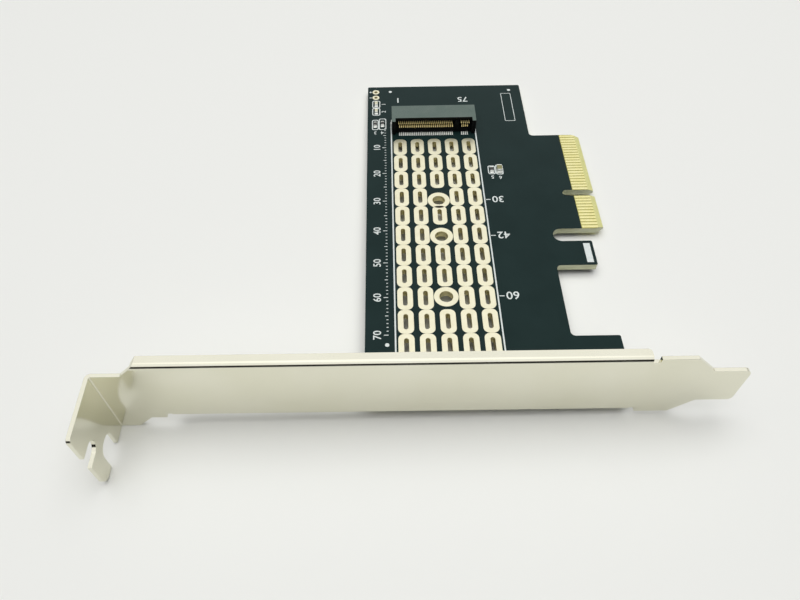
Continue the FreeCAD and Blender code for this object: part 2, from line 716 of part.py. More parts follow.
save("circuit_board", circuit_board())
save("edge_contacts_component_side", edge_contacts(0))
save("edge_contacts_solder_side", edge_contacts(SOLDER_FACE - PLATING))
save("heat_pads_component_side", heat_pad_columns())
for length in DRIVE_LENGTHS:
    save("drive_hole_pads_" + str(length), drive_hole_pads(length))
save("header_hole_plating", [header_eyelet(x, y) for x, y in header_places()])
save("drive_socket_housing", drive_socket_housing())
save("socket_contacts_upper", socket_contacts_upper())
save("socket_contacts_lower", socket_contacts_lower())
save("socket_hold_downs", socket_hold_downs())
for datum_x, datum_y, chips in ((BOARD_LEFT, HEADER_FIRST_Y, LEFT_CHIPS), (DRIVE_X, 0, DRIVE_CHIPS)):
    for name, x, y, width, length, height in chips:
        save(name, chip(datum_x + x, datum_y + y, width, length, height))
save("bracket", bracket())
for name, x in zip(("bracket_screw_left", "bracket_screw_right"), SCREW_XS):
    save(name, bracket_screw(x))
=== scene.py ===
import math

import bmesh
import bpy
from mathutils import Matrix, Vector


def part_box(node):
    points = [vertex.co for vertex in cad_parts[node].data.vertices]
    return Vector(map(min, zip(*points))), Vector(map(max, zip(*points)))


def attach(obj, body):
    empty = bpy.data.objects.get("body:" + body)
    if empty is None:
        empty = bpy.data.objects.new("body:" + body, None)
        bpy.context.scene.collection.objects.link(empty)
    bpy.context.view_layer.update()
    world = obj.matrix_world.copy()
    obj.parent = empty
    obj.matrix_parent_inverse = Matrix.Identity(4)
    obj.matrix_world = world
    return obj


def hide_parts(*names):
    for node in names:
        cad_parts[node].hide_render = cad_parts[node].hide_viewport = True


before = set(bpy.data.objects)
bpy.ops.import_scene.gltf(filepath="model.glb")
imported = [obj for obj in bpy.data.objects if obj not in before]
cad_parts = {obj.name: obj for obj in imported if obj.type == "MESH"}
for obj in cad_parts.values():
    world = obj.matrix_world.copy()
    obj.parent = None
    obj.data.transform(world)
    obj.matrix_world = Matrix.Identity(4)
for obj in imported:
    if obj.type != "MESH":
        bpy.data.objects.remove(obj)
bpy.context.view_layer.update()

# A passive card that carries a drive: board, heat pads, socket, small parts, print and folded bracket. It
# lies flat in its own frame, component face up at height 0. Shapes are worked in millimetres and brought to
# metres as each piece is finished. The housing, contacts, feet and bracket start from the frame's own meshes.
MM = 0.001

# Board, by its edges and corners. A pair is a length along X and a width along Y.
BOARD_THICKNESS = 1.57
BOARD_LEFT = -55.85
BOARD_EDGE = -12.95
FAR_EDGE = 44.6
NEAR_EDGE = -56.4
OUTER_CORNER = 0.4
INNER_CORNER = 1.0
TONGUE_FAR = 22.1
TONGUE_NEAR = -12.1
KEY_DEPTH = 7.75
KEY_HALF_WIDTH = 1.0
HOOK_FAR = -16.0
HOOK_NEAR = -23.4
HOOK_X = -3.65
HOOK_GAP_X = -12.27
LOBE_FAR = -42.7
LOBE_X = -2.75
TIP_CHAMFER = (2.0, 0.7)
BEVEL_LENGTH = 1.3
BEVEL_DEPTH = 0.45
COPPER = 0.05
INK = 0.02
MASK_EDGE = 5.2
SCREW_HOLE = 1.7

# Card-edge contacts
FINGER_ROOT = 5.1
FINGER_WIDTH = 0.7
NEAR_FINGERS = [-1.5 - place for place in range(11)]
FAR_FINGERS = [1.5 + place for place in range(21)]

# Drive place: its centre line, its inner end, and the slotted pads and plated holes under it
DRIVE_X = -38.25
DRIVE_END = 28.1
DRIVE_LENGTHS = (30, 42, 60, 80)
DRIVE_HOLE = 1.5
DRIVE_PAD = 2.7
COLUMN_PITCH = 4.48
ROW_PITCH = 6.3
FIRST_ROW = 18.2
PAD_COLUMNS = range(-2, 3)
PAD_ROWS = range(12)
PAD_HALF_WIDTH = 1.7
PAD_CORNER = 1.3
PAD_SEAM = 0.01
SLOT_HALF_WIDTH = 0.5
SLOT_HALF_LENGTH = 2.0

# Two plated holes of a header that isn't fitted
HEADER_EYELETS = ((-53.6, 39.66), (-53.6, 42.2))
HEADER_HOLE = 0.45
HEADER_PAD = 0.97

# Small parts: name, x, y, width, length, height
CHIPS = (
    ("indicator_led_far", -53.5, 36.6, 0.8, 1.6, 0.6),
    ("indicator_led_near", -53.5, 33.3, 0.8, 1.6, 0.6),
    ("led_resistor_outer", -53.75, 27.6, 0.8, 1.6, 0.45),
    ("led_resistor_inner", -51.8, 27.85, 0.8, 1.6, 0.45),
    ("bias_resistor", -24.25, 8.8, 0.8, 1.6, 0.45),
    ("filter_capacitor", -22.3, 8.9, 1.25, 2.0, 0.85),
)
CHIP_CAP = 0.25
CHIP_CAP_RISE = 0.03
CHIP_LIFT = 0.02
CHIP_SOLDER_SIDE = 0.08
CHIP_SOLDER_REACH = 0.3
CHIP_SOLDER_OFFSET = 0.1
CHIP_SOLDER_CLIMB = 0.6
CHIP_SOLDER_TAPER = 0.85

# Socket. Contacts stand at places of one pitch, with the places of the key left out of both rows.
SOCKET_HALF_WIDTH = 11.05
SOCKET_TOP = 4.2
SOCKET_FRONT = DRIVE_END - 4.0
CONTACT_PITCH = 0.5
LONG_GROUP = range(29)
UPPER_PLACES = (*LONG_GROUP, *range(33, 38))
LOWER_PLACES = (*LONG_GROUP, *range(33, 37))
UPPER_CONTACTS = [-9.25 + place * CONTACT_PITCH for place in UPPER_PLACES]
LOWER_CONTACTS = [-9.0 + place * CONTACT_PITCH for place in LOWER_PLACES]
TAIL_TOP = 0.2
TOP_BAND = 0.1
UPPER_TAIL_Y = DRIVE_END + 2.46
LOWER_TAIL_Y = SOCKET_FRONT - 0.55

# Solder under a tail: half width, half length and height, and the shares of the first two at its top
TAIL_SOLDER = (0.17, 0.62, 0.05)
TAIL_SOLDER_TOP = (0.6, 0.85, 1)

# Ribs between the contacts: bottom, top, and how far from the drive's inner end they stop
COMB_HALF_WIDTH = 0.1
COMB_SETBACK = 0.25
UPPER_COMB = (3.0, 3.3, 1.9)
LOWER_COMB = (1.45, 1.85, 1.4)

# Bracket screws. A thread ring is (depth in the thread, height) from its root round its crest.
SCREWS = {"bracket_screw_left": (-52.25, -52.7), "bracket_screw_right": (-7.75, -52.7)}
THREAD_RADIUS = 1.45
THREAD_PITCH = 0.5
THREAD_DEPTH = 0.22
THREAD_FROM_TIP = 0.25
THREAD_RING = ((1, 0), (0, 0.2), (0, 0.26), (1, 0.46))
TIP_BEVEL = 0.2
HEAD_RADIUS = 2.75
HEAD_HEIGHT = 1.9
HEAD_RIM = 1.0
RECESS_REACH = 1.35
RECESS_WIDTH = 0.62
RECESS_DEPTH = 1.0
RECESS_TAPER = 0.55
CROWN_RIM = 0.15
CROWN_RADIUS = RECESS_REACH + CROWN_RIM
HEAD_EDGE = 0.08
CROWN_STEPS = 6

# Softened edges, by what they are on
COPPER_SOFTNESS = 0.02
MOULDING_SOFTNESS = 0.06
FOOT_SOFTNESS = 0.03
CHIP_SOFTNESS = 0.04
SHEET_SOFTNESS = 0.09
RIM_BEVEL = 0.03

# Steps of an arc and of a full circle, and how near points are taken as one place
ARC_STEPS = 8
CIRCLE_STEPS = 48
SMALL_CIRCLE_STEPS = 24
SCREW_HOLE_STEPS = 40
DOT_STEPS = 20
SAME_POINT = 1e-5
SAME_CORNER = 0.0005
FRAME_CORNERS = 0.002
ON_THE_LINE = 0.01


# ---- outlines and shapes ----

def rounded(corners, steps=ARC_STEPS):
    """Points of an outline through (x, y, radius) corners, with an arc of short steps at each rounded one."""
    points = []
    for index, (x, y, radius) in enumerate(corners):
        here = Vector((x, y))
        if radius == 0:
            points.append(here)
            continue
        before = (Vector(corners[index - 1][:2]) - here).normalized()
        after = (Vector(corners[(index + 1) % len(corners)][:2]) - here).normalized()
        half = before.angle(after) / 2
        centre = here + (before + after).normalized() * (radius / math.sin(half))
        start = here + before * (radius / math.tan(half)) - centre
        sweep = start.angle_signed(here + after * (radius / math.tan(half)) - centre)
        for step in range(steps + 1):
            turn = Matrix.Rotation(-sweep * step / steps, 2)
            points.append(centre + turn @ start)
    return [p for index, p in enumerate(points) if (p - points[index - 1]).length > SAME_POINT]


def rectangle(x, y, half_width, half_length, corner=0.0):
    """Corners of a rectangle centred on a point, anticlockwise from its near left."""
    return [
        (x - half_width, y - half_length, corner),
        (x + half_width, y - half_length, corner),
        (x + half_width, y + half_length, corner),
        (x - half_width, y + half_length, corner),
    ]


def circle(x, y, radius, steps=CIRCLE_STEPS):
    """Points of a circle."""
    turns = [2 * math.pi * step / steps for step in range(steps)]
    return [Vector((x + radius * math.cos(turn), y + radius * math.sin(turn))) for turn in turns]


def add_loop(bm, points, z):
    """A closed loop of edges at one height."""
    verts = [bm.verts.new((p[0], p[1], z)) for p in points]
    return [bm.edges.new((verts[index - 1], vert)) for index, vert in enumerate(verts)]


def extrude_up(bm, faces, height):
    """Give flat faces a height."""
    raised = bmesh.ops.extrude_face_region(bm, geom=faces)
    verts = [item for item in raised["geom"] if isinstance(item, bmesh.types.BMVert)]
    bmesh.ops.translate(bm, vec=(0, 0, height), verts=verts)


def plate(bm, outline, openings, bottom, top):
    """A flat plate with openings through it."""
    edges = add_loop(bm, outline, bottom)
    for opening in openings:
        edges += add_loop(bm, opening, bottom)
    filled = bmesh.ops.triangle_fill(bm, use_beauty=True, use_dissolve=False, edges=edges)
    faces = [item for item in filled["geom"] if isinstance(item, bmesh.types.BMFace)]
    extrude_up(bm, faces, top - bottom)


def block(bm, low, high):
    """A box between two corners."""
    made = bmesh.ops.create_cube(bm, size=1)
    size = [high[axis] - low[axis] for axis in range(3)]
    centre = [(high[axis] + low[axis]) / 2 for axis in range(3)]
    bmesh.ops.scale(bm, vec=size, verts=made["verts"])
    bmesh.ops.translate(bm, vec=centre, verts=made["verts"])
    return made["verts"]


def spin_profile(bm, profile, x, y):
    """A turned solid from (radius, z) points that start and end on the axis or close on themselves."""
    verts = [bm.verts.new((x + radius, y, z)) for radius, z in profile]
    edges = [bm.edges.new(pair) for pair in zip(verts, verts[1:])]
    bmesh.ops.spin(
        bm, geom=verts + edges, cent=(x, y, 0), axis=(0, 0, 1), angle=2 * math.pi, steps=CIRCLE_STEPS,
        use_merge=True,
    )


def soften(bm, width, segments=2, angle=35):
    """Round every edge that turns more than an angle."""
    sharp = [e for e in bm.edges if len(e.link_faces) == 2 and e.calc_face_angle(0) > math.radians(angle)]
    bmesh.ops.bevel(
        bm, geom=sharp, offset=width, offset_type="OFFSET", segments=segments, profile=0.5,
        affect="EDGES", clamp_overlap=True, material=-1,
    )


def cad_copy(node):
    """A merged copy of a frame node's mesh, in millimetres, with its flats joined up."""
    bm = bmesh.new()
    bm.from_mesh(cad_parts[node].data)
    bmesh.ops.scale(bm, vec=(1 / MM,) * 3, verts=bm.verts)
    bmesh.ops.remove_doubles(bm, verts=bm.verts, dist=FRAME_CORNERS)
    bmesh.ops.dissolve_limit(bm, angle_limit=math.radians(1), verts=bm.verts, edges=bm.edges)
    return bm


def finish_piece(name, bm, materials, nodes=(), smooth=35):
    """Make an object of a mesh in millimetres, with its finish, riding on the card."""
    bmesh.ops.remove_doubles(bm, verts=bm.verts, dist=SAME_CORNER)
    bmesh.ops.recalc_face_normals(bm, faces=bm.faces)
    bmesh.ops.scale(bm, vec=(MM,) * 3, verts=bm.verts)
    mesh = bpy.data.meshes.new(name)
    bm.to_mesh(mesh)
    bm.free()
    for material in materials:
        mesh.materials.append(material)
    mesh.shade_smooth()
    mesh.set_sharp_from_angle(angle=math.radians(smooth))
    piece = bpy.data.objects.new(name, mesh)
    bpy.context.scene.collection.objects.link(piece)
    weighted = piece.modifiers.new("face_weighted_normals", "WEIGHTED_NORMAL")
    weighted.keep_sharp = True
    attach(piece, "root")
    if nodes:
        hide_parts(*nodes)


# ---- finishes ----

NOISE_MIDDLE = (0.3, 0.7)
PATCH_DETAIL = 3.0
GRAIN_DETAIL = 5.0
ROUGHNESS_DRIFT = 0.15
RELIEF_HEIGHT = 0.02
EVEN = (1, 1, 1)
LAYERED = (6, 6, 1)


def new_material(name):
    """A node material, with its nodes and links."""
    material = bpy.data.materials.new(name)
    material.use_nodes = True
    return material, material.node_tree.nodes, material.node_tree.links


def grain_texture(nodes, links, size, detail, stretch):
    """Noise in object space whose features are about size millimetres, drawn out along an axis."""
    place = nodes.new("ShaderNodeTexCoord")
    mapping = nodes.new("ShaderNodeMapping")
    mapping.inputs["Scale"].default_value = [1 / (size * MM * pull) for pull in stretch]
    noise = nodes.new("ShaderNodeTexNoise")
    noise.inputs["Scale"].default_value = 1.0
    noise.inputs["Detail"].default_value = detail
    links.new(place.outputs["Object"], mapping.inputs["Vector"])
    links.new(mapping.outputs["Vector"], noise.inputs["Vector"])
    return noise.outputs["Fac"]


def map_range(nodes, links, value, source, target, interpolation="SMOOTHSTEP"):
    """Map a value from one (low, high) pair onto another."""
    remap = nodes.new("ShaderNodeMapRange")
    remap.interpolation_type = interpolation
    for socket, number in zip(("From Min", "From Max", "To Min", "To Max"), (*source, *target)):
        remap.inputs[socket].default_value = number
    links.new(value, remap.inputs["Value"])
    return remap.outputs["Result"]


def spread(nodes, links, noise, low, high):
    """Map the middle of a noise onto a range."""
    return map_range(nodes, links, noise, NOISE_MIDDLE, (low, high), "LINEAR")


def combine(nodes, links, operation, first, second):
    """Multiply two values, or take the larger one."""
    result = nodes.new("ShaderNodeMath")
    result.operation = operation
    links.new(first, result.inputs[0])
    links.new(second, result.inputs[1])
    return result.outputs["Value"]


def two_tone(nodes, links, value, dark, light):
    """Mix two colours by a value."""
    mix = nodes.new("ShaderNodeMix")
    mix.data_type = "RGBA"
    mix.inputs["A"].default_value = (*dark, 1)
    mix.inputs["B"].default_value = (*light, 1)
    links.new(value, mix.inputs["Factor"])
    return mix.outputs["Result"]


def surface(name, dark, light, metallic, rough, specular, patch, grain, relief, stretch=EVEN):
    """A finish of two close tones in patches, with roughness that drifts and a fine relief."""
    material, nodes, links = new_material(name)
    shader = nodes["Principled BSDF"]
    shader.inputs["Metallic"].default_value = metallic
    shader.inputs["Specular IOR Level"].default_value = specular
    patches = grain_texture(nodes, links, patch, PATCH_DETAIL, stretch)
    tone = spread(nodes, links, patches, 0.0, 1.0)
    links.new(two_tone(nodes, links, tone, dark, light), shader.inputs["Base Color"])
    fine = grain_texture(nodes, links, grain, GRAIN_DETAIL, stretch)
    smooth, coarse = rough * (1 - ROUGHNESS_DRIFT), rough * (1 + ROUGHNESS_DRIFT)
    links.new(spread(nodes, links, fine, smooth, coarse), shader.inputs["Roughness"])
    bump = nodes.new("ShaderNodeBump")
    bump.inputs["Strength"].default_value = relief
    bump.inputs["Distance"].default_value = RELIEF_HEIGHT * MM
    links.new(fine, bump.inputs["Height"])
    links.new(bump.outputs["Normal"], shader.inputs["Normal"])
    return material


# Each finish: dark and light tone, metallic, roughness, specular level, patch and grain size, relief
solder_mask = surface("solder_mask", (0.007, 0.020, 0.019), (0.010, 0.025, 0.024), 0, 0.36, 0.1, 9, 0.25, 0.1)
glass_fibre = surface(
    "glass_fibre", (0.50, 0.51, 0.33), (0.64, 0.66, 0.48), 0, 0.5, 0.4, 0.8, 0.1, 0.3, LAYERED
)
bare_laminate = surface("bare_laminate", (0.36, 0.34, 0.08), (0.45, 0.42, 0.12), 0, 0.4, 0.4, 0.7, 0.15, 0.3)
bevel_laminate = surface("bevel_laminate", (0.60, 0.59, 0.23), (0.70, 0.68, 0.31), 0, 0.5, 0.4, 0.5, 0.1, 0.3)
hard_gold = surface("hard_gold", (0.80, 0.74, 0.33), (0.86, 0.81, 0.44), 1, 0.26, 0.5, 3, 0.2, 0.15)
pale_gold = surface("pale_gold", (0.82, 0.78, 0.57), (0.87, 0.84, 0.64), 1, 0.40, 0.5, 2, 0.15, 0.25)
hole_gold = surface("hole_gold", (0.76, 0.69, 0.38), (0.86, 0.79, 0.48), 0.85, 0.38, 0.6, 1, 0.15, 0.3)
socket_black = surface(
    "socket_black", (0.004, 0.005, 0.006), (0.007, 0.008, 0.009), 0, 0.42, 0.08, 2, 0.12, 0.3
)
# Painted sheen: the moulding is black, and its top gets this paler green-grey tone for the overhead light it
# catches
socket_top_painted_sheen = surface("socket_top_painted_sheen", (0.070, 0.112, 0.092), (0.092, 0.132, 0.112), 0, 0.30, 0.5, 3, 0.12, 0.3)
contact_gold = surface("contact_gold", (0.88, 0.70, 0.27), (0.96, 0.82, 0.40), 0.55, 0.40, 0.8, 0.6, 0.1, 0.2)
tin_solder = surface("tin_solder", (0.76, 0.78, 0.74), (0.86, 0.88, 0.83), 0.6, 0.34, 0.8, 0.5, 0.15, 0.35)
satin_nickel = surface(
    "satin_nickel", (0.765, 0.75, 0.615), (0.80, 0.785, 0.665), 1, 0.13, 0.5, 14, 0.12, 0.04
)
bright_zinc = surface("bright_zinc", (0.62, 0.63, 0.64), (0.72, 0.73, 0.74), 1, 0.24, 0.5, 1.5, 0.2, 0.2)
white_ink = surface("white_ink", (0.66, 0.72, 0.70), (0.76, 0.80, 0.78), 0, 0.5, 0.3, 0.6, 0.1, 0.4)
chip_black = surface("chip_black", (0.020, 0.020, 0.018), (0.032, 0.031, 0.028), 0, 0.3, 0.5, 0.5, 0.1, 0.2)
chip_tan = surface("chip_tan", (0.20, 0.19, 0.08), (0.26, 0.25, 0.11), 0, 0.35, 0.5, 0.6, 0.1, 0.2)
lamp_lens = surface("lamp_lens", (0.62, 0.60, 0.42), (0.70, 0.68, 0.50), 0, 0.2, 0.5, 0.6, 0.1, 0.1)


# ---- board ----

# The board's finishes, told apart by how far a face's normal leans from upright
MASKED, SAWN, BARE, BEVELLED = range(4)
WALL_SLOPE = 0.5
FLAT_SLOPE = 0.99

# A slot's corners stay a hair under a half circle, and a bore's wall is all within this share of its radius
ROUND_END = 0.999
BORE_REACH = 1.01
PAD_STEPS = 6


def board_outline():
    """The board's outline, from its far left corner round by the bracket and the card edge."""
    chamfer_length, chamfer_width = TIP_CHAMFER
    gap = (TONGUE_NEAR - HOOK_FAR) / 2
    corners = [
        (BOARD_LEFT, FAR_EDGE, OUTER_CORNER),
        (BOARD_LEFT, NEAR_EDGE, OUTER_CORNER),
        (LOBE_X, NEAR_EDGE, OUTER_CORNER),
        (LOBE_X, LOBE_FAR, OUTER_CORNER),
        (BOARD_EDGE, LOBE_FAR, INNER_CORNER),
        (BOARD_EDGE, HOOK_NEAR, INNER_CORNER),
        (HOOK_X, HOOK_NEAR, OUTER_CORNER),
        (HOOK_X, HOOK_FAR, OUTER_CORNER),
        (HOOK_GAP_X, HOOK_FAR, gap),
        (HOOK_GAP_X, TONGUE_NEAR, gap),
        (-chamfer_length, TONGUE_NEAR, 0),
        (0, TONGUE_NEAR + chamfer_width, 0),
        (0, -KEY_HALF_WIDTH, 0),
        (-KEY_DEPTH, -KEY_HALF_WIDTH, KEY_HALF_WIDTH),
        (-KEY_DEPTH, KEY_HALF_WIDTH, KEY_HALF_WIDTH),
        (0, KEY_HALF_WIDTH, 0),
        (0, TONGUE_FAR - chamfer_width, 0),
        (-chamfer_length, TONGUE_FAR, 0),
        (BOARD_EDGE, TONGUE_FAR, INNER_CORNER),
        (BOARD_EDGE, FAR_EDGE, OUTER_CORNER),
    ]
    return rounded(corners)


def pad_places():
    """Centres of the slotted pads. The drive holes take some places of the middle column."""
    holes = [DRIVE_END - length for length in DRIVE_LENGTHS]
    places = []
    for column in PAD_COLUMNS:
        for row in PAD_ROWS:
            y = FIRST_ROW - row * ROW_PITCH
            if column or all(abs(y - hole) > DRIVE_PAD + SLOT_HALF_LENGTH for hole in holes):
                places.append((DRIVE_X + column * COLUMN_PITCH, y))
    return places


def slot_outline(x, y, grow=0.0):
    """A heat slot with round ends."""
    half_width = SLOT_HALF_WIDTH + grow
    half_length = SLOT_HALF_LENGTH + grow
    return rounded(rectangle(x, y, half_width, half_length, half_width * ROUND_END), PAD_STEPS)


def make_board():
    """The laminate: solder mask on its faces, bare along its edges and round the card-edge contacts."""
    bm = bmesh.new()
    openings = [slot_outline(x, y, COPPER) for x, y in pad_places()]
    openings += [circle(DRIVE_X, DRIVE_END - length, DRIVE_HOLE + COPPER) for length in DRIVE_LENGTHS]
    openings += [circle(x, y, HEADER_HOLE + COPPER, SMALL_CIRCLE_STEPS) for x, y in HEADER_EYELETS]
    openings += [circle(x, y, SCREW_HOLE, SCREW_HOLE_STEPS) for x, y in SCREWS.values()]
    plate(bm, board_outline(), openings, -BOARD_THICKNESS, 0)
    for place in (-MASK_EDGE, -BEVEL_LENGTH):
        everything = bm.verts[:] + bm.edges[:] + bm.faces[:]
        bmesh.ops.bisect_plane(
            bm, geom=everything, dist=SAME_POINT, plane_co=(place, 0, 0), plane_no=(1, 0, 0)
        )
    tip_line = [v for v in bm.verts if abs(v.co.x) < ON_THE_LINE]
    for vert in tip_line:
        vert.co.z += -BEVEL_DEPTH if vert.co.z > -BOARD_THICKNESS / 2 else BEVEL_DEPTH
    bmesh.ops.recalc_face_normals(bm, faces=bm.faces)
    for face in bm.faces:
        centre = face.calc_center_median()
        if abs(face.normal.z) < WALL_SLOPE:
            face.material_index = SAWN
        elif abs(face.normal.z) < FLAT_SLOPE:
            face.material_index = BEVELLED
        elif centre.x > -MASK_EDGE and TONGUE_NEAR < centre.y < TONGUE_FAR:
            face.material_index = BARE
        else:
            face.material_index = MASKED
    finishes = (solder_mask, glass_fibre, bare_laminate, bevel_laminate)
    finish_piece("board_laminate", bm, finishes, ["circuit_board"], smooth=20)


def make_heat_pads():
    """Slotted pads on both faces, and the plating that lines each slot."""
    bm = bmesh.new()
    low = -BOARD_THICKNESS
    for x, y in pad_places():
        pad = rectangle(x, y, PAD_HALF_WIDTH, ROW_PITCH / 2 - PAD_SEAM, PAD_CORNER)
        outer = rounded(pad, PAD_STEPS)
        wall = slot_outline(x, y)
        plate(bm, outer, [wall], 0, COPPER)
        plate(bm, outer, [wall], low - COPPER, low)
    soften(bm, COPPER_SOFTNESS, 1)
    pad_faces = set(bm.faces)
    for x, y in pad_places():
        plate(bm, slot_outline(x, y, COPPER), [slot_outline(x, y)], low, 0)
    for face in bm.faces:
        face.material_index = 0 if face in pad_faces else 1
    finishes = (pale_gold, hole_gold)
    finish_piece("heat_pads", bm, finishes, ["heat_pads_component_side"])


def make_plated_hole(name, x, y, radius, pad, nodes):
    """A ring on each face and the plated wall between them, turned in one."""
    bm = bmesh.new()
    low = -BOARD_THICKNESS
    rim = RIM_BEVEL
    profile = [
        (pad, 0),
        (pad, COPPER - rim),
        (pad - rim, COPPER),
        (radius + rim, COPPER),
        (radius, COPPER - rim),
        (radius, low - COPPER + rim),
        (radius + rim, low - COPPER),
        (pad - rim, low - COPPER),
        (pad, low - COPPER + rim),
        (pad, low),
        (radius + COPPER, low),
        (radius + COPPER, 0),
        (pad, 0),
    ]
    spin_profile(bm, profile, x, y)
    for face in bm.faces:
        centre = face.calc_center_median()
        if math.dist((centre.x, centre.y), (x, y)) < radius * BORE_REACH:
            face.material_index = 1
    finish_piece(name, bm, (pale_gold, hole_gold), nodes)


def make_edge_contacts(name, bottom, node):
    """The gold fingers of one face."""
    bm = bmesh.new()
    half = FINGER_WIDTH / 2
    for y in NEAR_FINGERS + FAR_FINGERS:
        block(bm, (-FINGER_ROOT, y - half, bottom), (-BEVEL_LENGTH, y + half, bottom + COPPER))
    soften(bm, COPPER_SOFTNESS, 2)
    finish_piece(name, bm, (hard_gold,), [node])


# ---- socket ----

def make_socket():
    """The moulding with its top painted paler as a sheen, the two rows of contacts with tinned tails, and the
    feet.
    """
    bm = cad_copy("drive_socket_housing")
    soften(bm, MOULDING_SOFTNESS, 2)
    bmesh.ops.recalc_face_normals(bm, faces=bm.faces)
    # Painted sheen: faces that look up at the top of the moulding take the paler tone
    for face in bm.faces:
        if face.normal.z > WALL_SLOPE and face.calc_center_median().z > SOCKET_TOP - TOP_BAND:
            face.material_index = 1
    finishes = (socket_black, socket_top_painted_sheen)
    finish_piece("socket_body", bm, finishes, ["drive_socket_housing"])
    for row in ("upper", "lower"):
        bm = cad_copy("socket_contacts_" + row)
        soften(bm, COPPER_SOFTNESS, 1)
        for face in bm.faces:
            face.material_index = 1 if face.calc_center_median().z < TAIL_TOP else 0
        finishes = (contact_gold, tin_solder)
        finish_piece("contacts_" + row, bm, finishes, ["socket_contacts_" + row])
    bm = cad_copy("socket_hold_downs")
    soften(bm, FOOT_SOFTNESS, 2)
    finish_piece("hold_downs", bm, (tin_solder,), ["socket_hold_downs"])


def make_socket_combs():
    """Ribs of the moulding between the contacts."""
    bm = bmesh.new()
    near = SOCKET_FRONT + COMB_SETBACK
    for row, comb in ((UPPER_CONTACTS, UPPER_COMB), (LOWER_CONTACTS, LOWER_COMB)):
        bottom, top, from_drive_end = comb
        far = DRIVE_END - from_drive_end
        for place in row:
            x = DRIVE_X + place + CONTACT_PITCH / 2
            block(bm, (x - COMB_HALF_WIDTH, near, bottom), (x + COMB_HALF_WIDTH, far, top))
    finish_piece("socket_combs", bm, (socket_black,))


def make_contact_solder():
    """A low mound of solder under each contact's tail."""
    bm = bmesh.new()
    half_width, half_length, height = TAIL_SOLDER
    for row, y in ((UPPER_CONTACTS, UPPER_TAIL_Y), (LOWER_CONTACTS, LOWER_TAIL_Y)):
        for place in row:
            x = DRIVE_X + place
            low = (x - half_width, y - half_length, 0)
            mound = block(bm, low, (x + half_width, y + half_length, height))
            top = [vert for vert in mound if vert.co.z > height / 2]
            centre = Matrix.Translation((-x, -y, 0))
            bmesh.ops.scale(bm, vec=TAIL_SOLDER_TOP, space=centre, verts=top)
    finish_piece("contact_solder", bm, (tin_solder,))


# ---- small parts ----

CHIP_FINISHES = {
    "filter_capacitor": chip_tan,
    "indicator_led_far": lamp_lens,
    "indicator_led_near": lamp_lens,
}


def make_chip(name, x, y, width, length, height):
    """A chip part: its body between tinned caps, in solder that climbs the caps."""
    bm = bmesh.new()
    half = width / 2
    rise = CHIP_CAP_RISE
    body_end = length / 2 - CHIP_LIFT
    block(bm, (x - half, y - body_end, rise), (x + half, y + body_end, height))
    body_faces = set(bm.faces)
    for side in (-1, 1):
        end = y + side * length / 2
        near, far = sorted((end, end - side * CHIP_CAP))
        block(bm, (x - half - rise, near, CHIP_LIFT), (x + half + rise, far, height + rise))
        middle = end + side * CHIP_SOLDER_OFFSET
        reach = half + CHIP_SOLDER_SIDE
        climb = height * CHIP_SOLDER_CLIMB
        low = (x - reach, middle - CHIP_SOLDER_REACH, 0)
        solder = block(bm, low, (x + reach, middle + CHIP_SOLDER_REACH, climb))
        for vert in solder:
            if vert.co.z > climb / 2:
                vert.co.y = end - side * CHIP_SOLDER_OFFSET
                vert.co.x = x + (vert.co.x - x) * CHIP_SOLDER_TAPER
    for face in bm.faces:
        face.material_index = 0 if face in body_faces else 1
    soften(bm, CHIP_SOFTNESS, 2)
    finishes = (CHIP_FINISHES.get(name, chip_black), tin_solder)
    finish_piece(name + "_part", bm, finishes, [name])


def screw_profile(tip):
    """Half section of a pan-head screw: chamfered tip, thread rings, flat under the head, domed crown."""
    core = THREAD_RADIUS - THREAD_DEPTH
    profile = [(0, tip), (core - TIP_BEVEL, tip), (core, tip + TIP_BEVEL)]
    threaded = -tip - 2 * THREAD_FROM_TIP
    for ring in range(int(threaded / THREAD_PITCH)):
        low = tip + THREAD_FROM_TIP + ring * THREAD_PITCH
        profile += [(THREAD_RADIUS - depth * THREAD_DEPTH, low + rise) for depth, rise in THREAD_RING]
    profile += [(core, 0), (HEAD_RADIUS - HEAD_EDGE, 0), (HEAD_RADIUS, HEAD_EDGE), (HEAD_RADIUS, HEAD_RIM)]
    for step in range(1, CROWN_STEPS + 1):
        turn = math.radians(90) * step / CROWN_STEPS
        reach = CROWN_RADIUS + (HEAD_RADIUS - CROWN_RADIUS) * math.cos(turn)
        profile.append((reach, HEAD_RIM + (HEAD_HEIGHT - HEAD_RIM) * math.sin(turn)))
    return profile


def cross_outline(x, y, reach, half_width):
    """A cross with square arms, anticlockwise."""
    outline = []
    for quarter in range(4):
        turn = Matrix.Rotation(math.radians(90) * quarter, 2)
        for corner in ((reach, -half_width), (reach, half_width), (half_width, half_width)):
            outline.append(Vector((x, y)) + turn @ Vector(corner))
    return outline


def make_screw(name, x, y):
    """A turned screw whose crown is closed round a tapered cross recess."""
    bm = bmesh.new()
    spin_profile(bm, screw_profile(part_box(name)[0].z / MM), x, y)
    axis = Vector((x, y))
    cross = cross_outline(x, y, RECESS_REACH, RECESS_WIDTH / 2)
    rim_edges = add_loop(bm, circle(x, y, CROWN_RADIUS), HEAD_HEIGHT)
    mouth_edges = add_loop(bm, cross, HEAD_HEIGHT)
    bmesh.ops.triangle_fill(bm, use_beauty=True, use_dissolve=False, edges=rim_edges + mouth_edges)
    floor = [axis + (point - axis) * RECESS_TAPER for point in cross]
    floor_edges = add_loop(bm, floor, HEAD_HEIGHT - RECESS_DEPTH)
    bmesh.ops.bridge_loops(bm, edges=mouth_edges + floor_edges)
    bmesh.ops.triangle_fill(bm, use_beauty=True, use_dissolve=False, edges=floor_edges)
    finish_piece(name + "_part", bm, (bright_zinc,), [name])


# ---- white print ----

